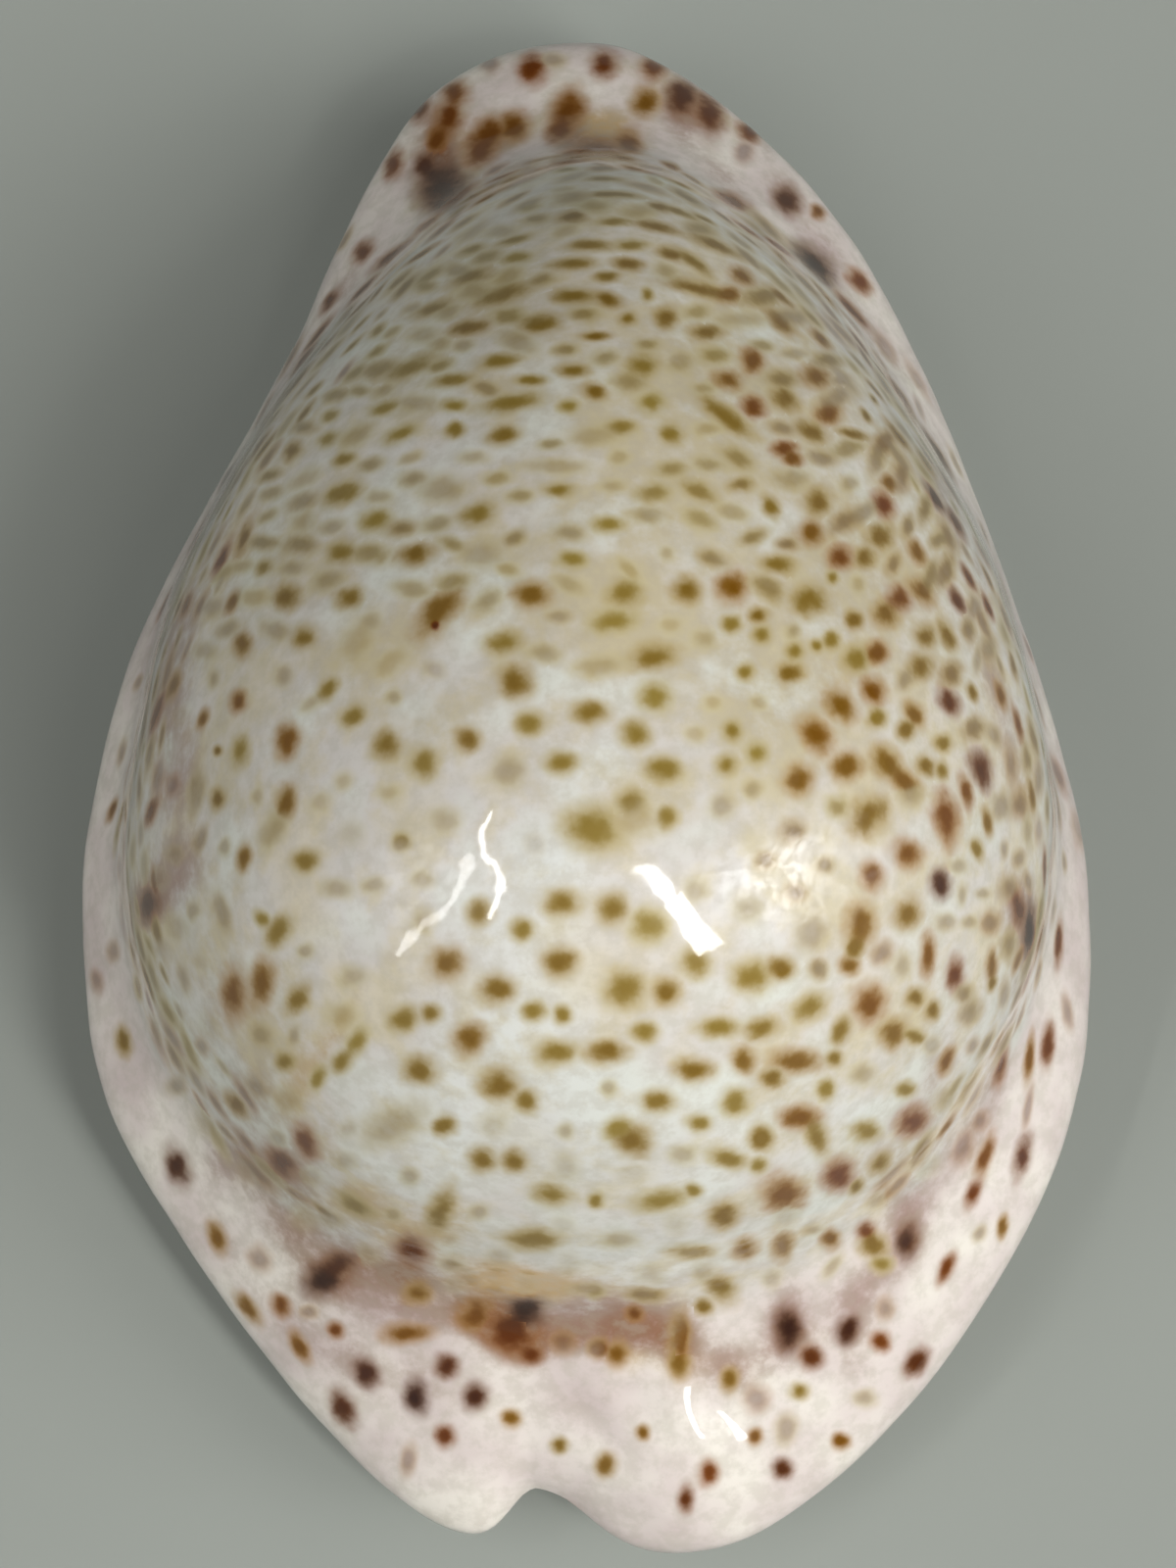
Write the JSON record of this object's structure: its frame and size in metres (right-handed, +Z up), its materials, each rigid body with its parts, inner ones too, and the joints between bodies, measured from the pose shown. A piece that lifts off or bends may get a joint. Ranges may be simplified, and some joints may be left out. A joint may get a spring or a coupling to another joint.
{
  "type": "cowrie shell",
  "caption": "Egg-shaped glossy cowrie shell, hollow, lying on a flat base split by a long toothed slit, with thick margins and a speckled domed back.",
  "frame": {"origin": "on the surface that the shell lies on, under the middle of its outline", "axes": "+Y towards the narrow front end, +X towards the outer lip, +Z up through the crown"},
  "size_m": [0.0248, 0.038, 0.0191],
  "materials": {
    "shell": "glossy"
  },
  "bodies": {
    "root": {"cowrie_shell": "shell"}
  },
  "joints": []
}
